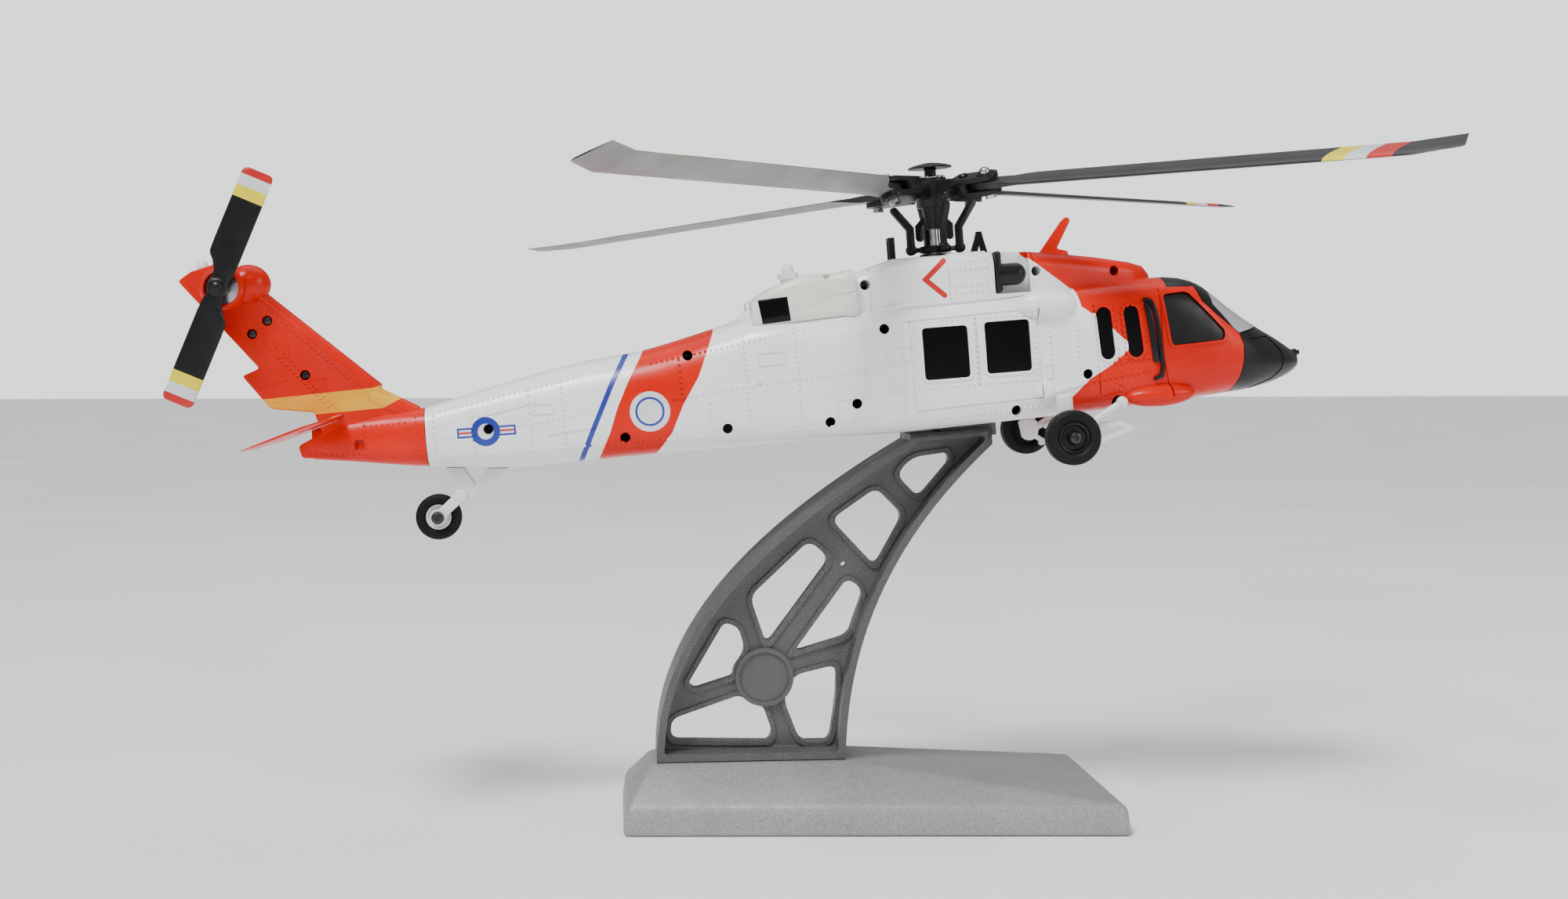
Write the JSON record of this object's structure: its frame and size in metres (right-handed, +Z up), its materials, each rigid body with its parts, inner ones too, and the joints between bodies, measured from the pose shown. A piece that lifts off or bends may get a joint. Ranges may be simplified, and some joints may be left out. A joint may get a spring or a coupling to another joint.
{
  "type": "helicopter scale model on stand",
  "caption": "Utility helicopter scale model with swept main rotor blades, canted tail rotor and rolling wheels, held nose-up on a lattice arm over a tapered base.",
  "frame": {"origin": "middle of the stand base, on the table plane it stands on", "axes": "+X towards the helicopter's nose, +Y towards its left side, +Z up"},
  "size_m": [0.3786, 0.2597, 0.2116],
  "materials": {
    "white_gloss_body": "gloss",
    "orange_gloss_body": "gloss",
    "black_satin_plastic": "satin",
    "dark_glazing": "gloss",
    "clear_glazing": "gloss",
    "cream_duct": "satin",
    "grey_stand": "satin, fine speckle",
    "dark_grey_arm": "satin",
    "grey_blade": "satin",
    "polished_steel": "polished",
    "black_rubber": "matte",
    "pale_grey_strut": "satin",
    "green_circuit_board": "satin",
    "copper_motor": "satin"
  },
  "bodies": {
    "airframe": {"stand_base": "grey_stand", "stand_floor_plate": "dark_grey_arm", "stand_arm": "dark_grey_arm", "fuselage_right": "white_gloss_body", "fuselage_left": "white_gloss_body", "side_glazing_right": "dark_glazing", "side_glazing_left": "dark_glazing", "nose_cap": "black_satin_plastic", "windscreen": "clear_glazing", "roof_aerial": "orange_gloss_body", "intake_right": "black_satin_plastic", "intake_left": "black_satin_plastic", "exhaust_right": "cream_duct", "exhaust_left": "cream_duct", "tail_shell_right": "orange_gloss_body", "tail_shell_left": "orange_gloss_body", "stabilator": "orange_gloss_body", "main_strut_right": "pale_grey_strut", "wheel_bolt_right": "black_satin_plastic", "main_strut_left": "pale_grey_strut", "wheel_bolt_left": "black_satin_plastic", "tail_strut": "white_gloss_body", "tail_wheel_bolt": "black_satin_plastic", "chassis": "black_satin_plastic", "servo_1": "dark_grey_arm", "servo_2": "dark_grey_arm", "servo_3": "dark_grey_arm", "motor_stator": "copper_motor", "battery": "pale_grey_strut", "flight_board": "green_circuit_board", "tail_motor": "polished_steel"},
    "rotor": {"main_mast": "polished_steel", "rotor_head": "black_satin_plastic", "head_cap": "black_satin_plastic", "motor_bell": "polished_steel"},
    "swashplate_lower": {"swash_lower": "black_satin_plastic"},
    "swashplate_upper": {"swash_upper": "black_satin_plastic", "pitch_link_1": "black_satin_plastic", "pitch_link_2": "black_satin_plastic", "pitch_link_3": "black_satin_plastic", "pitch_link_4": "black_satin_plastic"},
    "grip_1": {"blade_grip_1": "black_satin_plastic", "blade_bolt_1": "polished_steel"},
    "blade_1": {"blade_1": "grey_blade"},
    "grip_2": {"blade_grip_2": "black_satin_plastic", "blade_bolt_2": "polished_steel"},
    "blade_2": {"blade_2": "grey_blade"},
    "grip_3": {"blade_grip_3": "black_satin_plastic", "blade_bolt_3": "polished_steel"},
    "blade_3": {"blade_3": "grey_blade"},
    "grip_4": {"blade_grip_4": "black_satin_plastic", "blade_bolt_4": "polished_steel"},
    "blade_4": {"blade_4": "grey_blade"},
    "servo_rod_1": {"servo_rod_1": "pale_grey_strut"},
    "servo_rod_2": {"servo_rod_2": "pale_grey_strut"},
    "servo_rod_3": {"servo_rod_3": "pale_grey_strut"},
    "tail_rotor": {"tail_rotor": "black_satin_plastic"},
    "main_wheel_right": {"main_wheel_right": "black_rubber"},
    "main_wheel_left": {"main_wheel_left": "black_rubber"},
    "tail_wheel": {"tail_wheel": "black_rubber"}
  },
  "joints": [
    {"name": "rotor_spin", "type": "hinge", "parent": "airframe", "child": "rotor", "pos_m": [0.0215, 0, 0.2026], "axis": [-0.0774, 0, 0.997], "continuous": true},
    {"name": "swash_slide", "type": "slide", "parent": "airframe", "child": "swashplate_lower", "axis": [-0.0774, 0, 0.997], "range_m": [-0.0015, 0.0015]},
    {"name": "swash_spin", "type": "hinge", "parent": "swashplate_lower", "child": "swashplate_upper", "pos_m": [0.0215, 0, 0.2026], "axis": [-0.0774, 0, 0.997], "continuous": true},
    {"name": "blade_pitch_1", "type": "hinge", "parent": "rotor", "child": "grip_1", "pos_m": [0.0215, 0, 0.2026], "axis": [0.6932, -0.7187, 0.0538], "range_deg": [-12, 12]},
    {"name": "blade_fold_1", "type": "hinge", "parent": "grip_1", "child": "blade_1", "pos_m": [0.03675, -0.01581, 0.20378], "axis": [-0.3065, -0.2264, 0.9246], "range_deg": [-20, 20]},
    {"name": "blade_pitch_2", "type": "hinge", "parent": "rotor", "child": "grip_2", "pos_m": [0.0215, 0, 0.2026], "axis": [0.7166, 0.6953, 0.0556], "range_deg": [-12, 12]},
    {"name": "blade_fold_2", "type": "hinge", "parent": "grip_2", "child": "blade_2", "pos_m": [0.03726, 0.0153, 0.20382], "axis": [0.0441, -0.1248, 0.9912], "range_deg": [-20, 20]},
    {"name": "blade_pitch_3", "type": "hinge", "parent": "rotor", "child": "grip_3", "pos_m": [0.0215, 0, 0.2026], "axis": [-0.6932, 0.7187, -0.0538], "range_deg": [-12, 12]},
    {"name": "blade_fold_3", "type": "hinge", "parent": "grip_3", "child": "blade_3", "pos_m": [0.00625, 0.01581, 0.20142], "axis": [-0.0398, 0.0364, 0.9985], "range_deg": [-20, 20]},
    {"name": "blade_pitch_4", "type": "hinge", "parent": "rotor", "child": "grip_4", "pos_m": [0.0215, 0, 0.2026], "axis": [-0.7166, -0.6953, -0.0556], "range_deg": [-12, 12]},
    {"name": "blade_fold_4", "type": "hinge", "parent": "grip_4", "child": "blade_4", "pos_m": [0.00573, -0.0153, 0.20138], "axis": [-0.3098, 0.2458, 0.9185], "range_deg": [-20, 20]},
    {"name": "servo_slide_1", "type": "slide", "parent": "airframe", "child": "servo_rod_1", "axis": [-0.0774, 0, 0.997], "range_m": [-0.0015, 0.0015]},
    {"name": "servo_slide_2", "type": "slide", "parent": "airframe", "child": "servo_rod_2", "axis": [-0.0774, 0, 0.997], "range_m": [-0.0015, 0.0015]},
    {"name": "servo_slide_3", "type": "slide", "parent": "airframe", "child": "servo_rod_3", "axis": [-0.0774, 0, 0.997], "range_m": [-0.0015, 0.0015]},
    {"name": "tail_rotor_spin", "type": "hinge", "parent": "airframe", "child": "tail_rotor", "pos_m": [-0.20196, -0.0134, 0.1702], "axis": [0, 1, 0], "continuous": true},
    {"name": "right_wheel_roll", "type": "hinge", "parent": "airframe", "child": "main_wheel_right", "pos_m": [0.0604, -0.0339, 0.12398], "axis": [0, 1, 0], "continuous": true},
    {"name": "left_wheel_roll", "type": "hinge", "parent": "airframe", "child": "main_wheel_left", "pos_m": [0.0604, 0.0339, 0.12398], "axis": [0, 1, 0], "continuous": true},
    {"name": "tail_wheel_roll", "type": "hinge", "parent": "airframe", "child": "tail_wheel", "pos_m": [-0.13678, 0, 0.09803], "axis": [0, 1, 0], "continuous": true}
  ],
  "couplings": [
    {"joint": "swash_spin", "follows": "rotor_spin", "ratio": 1},
    {"joint": "blade_pitch_1", "follows": "swash_slide", "rad_per_m": -133.3},
    {"joint": "blade_pitch_2", "follows": "swash_slide", "rad_per_m": -133.3},
    {"joint": "blade_pitch_3", "follows": "swash_slide", "rad_per_m": -133.3},
    {"joint": "blade_pitch_4", "follows": "swash_slide", "rad_per_m": -133.3},
    {"joint": "servo_slide_1", "follows": "swash_slide", "ratio": 1},
    {"joint": "servo_slide_2", "follows": "swash_slide", "ratio": 1},
    {"joint": "servo_slide_3", "follows": "swash_slide", "ratio": 1}
  ]
}
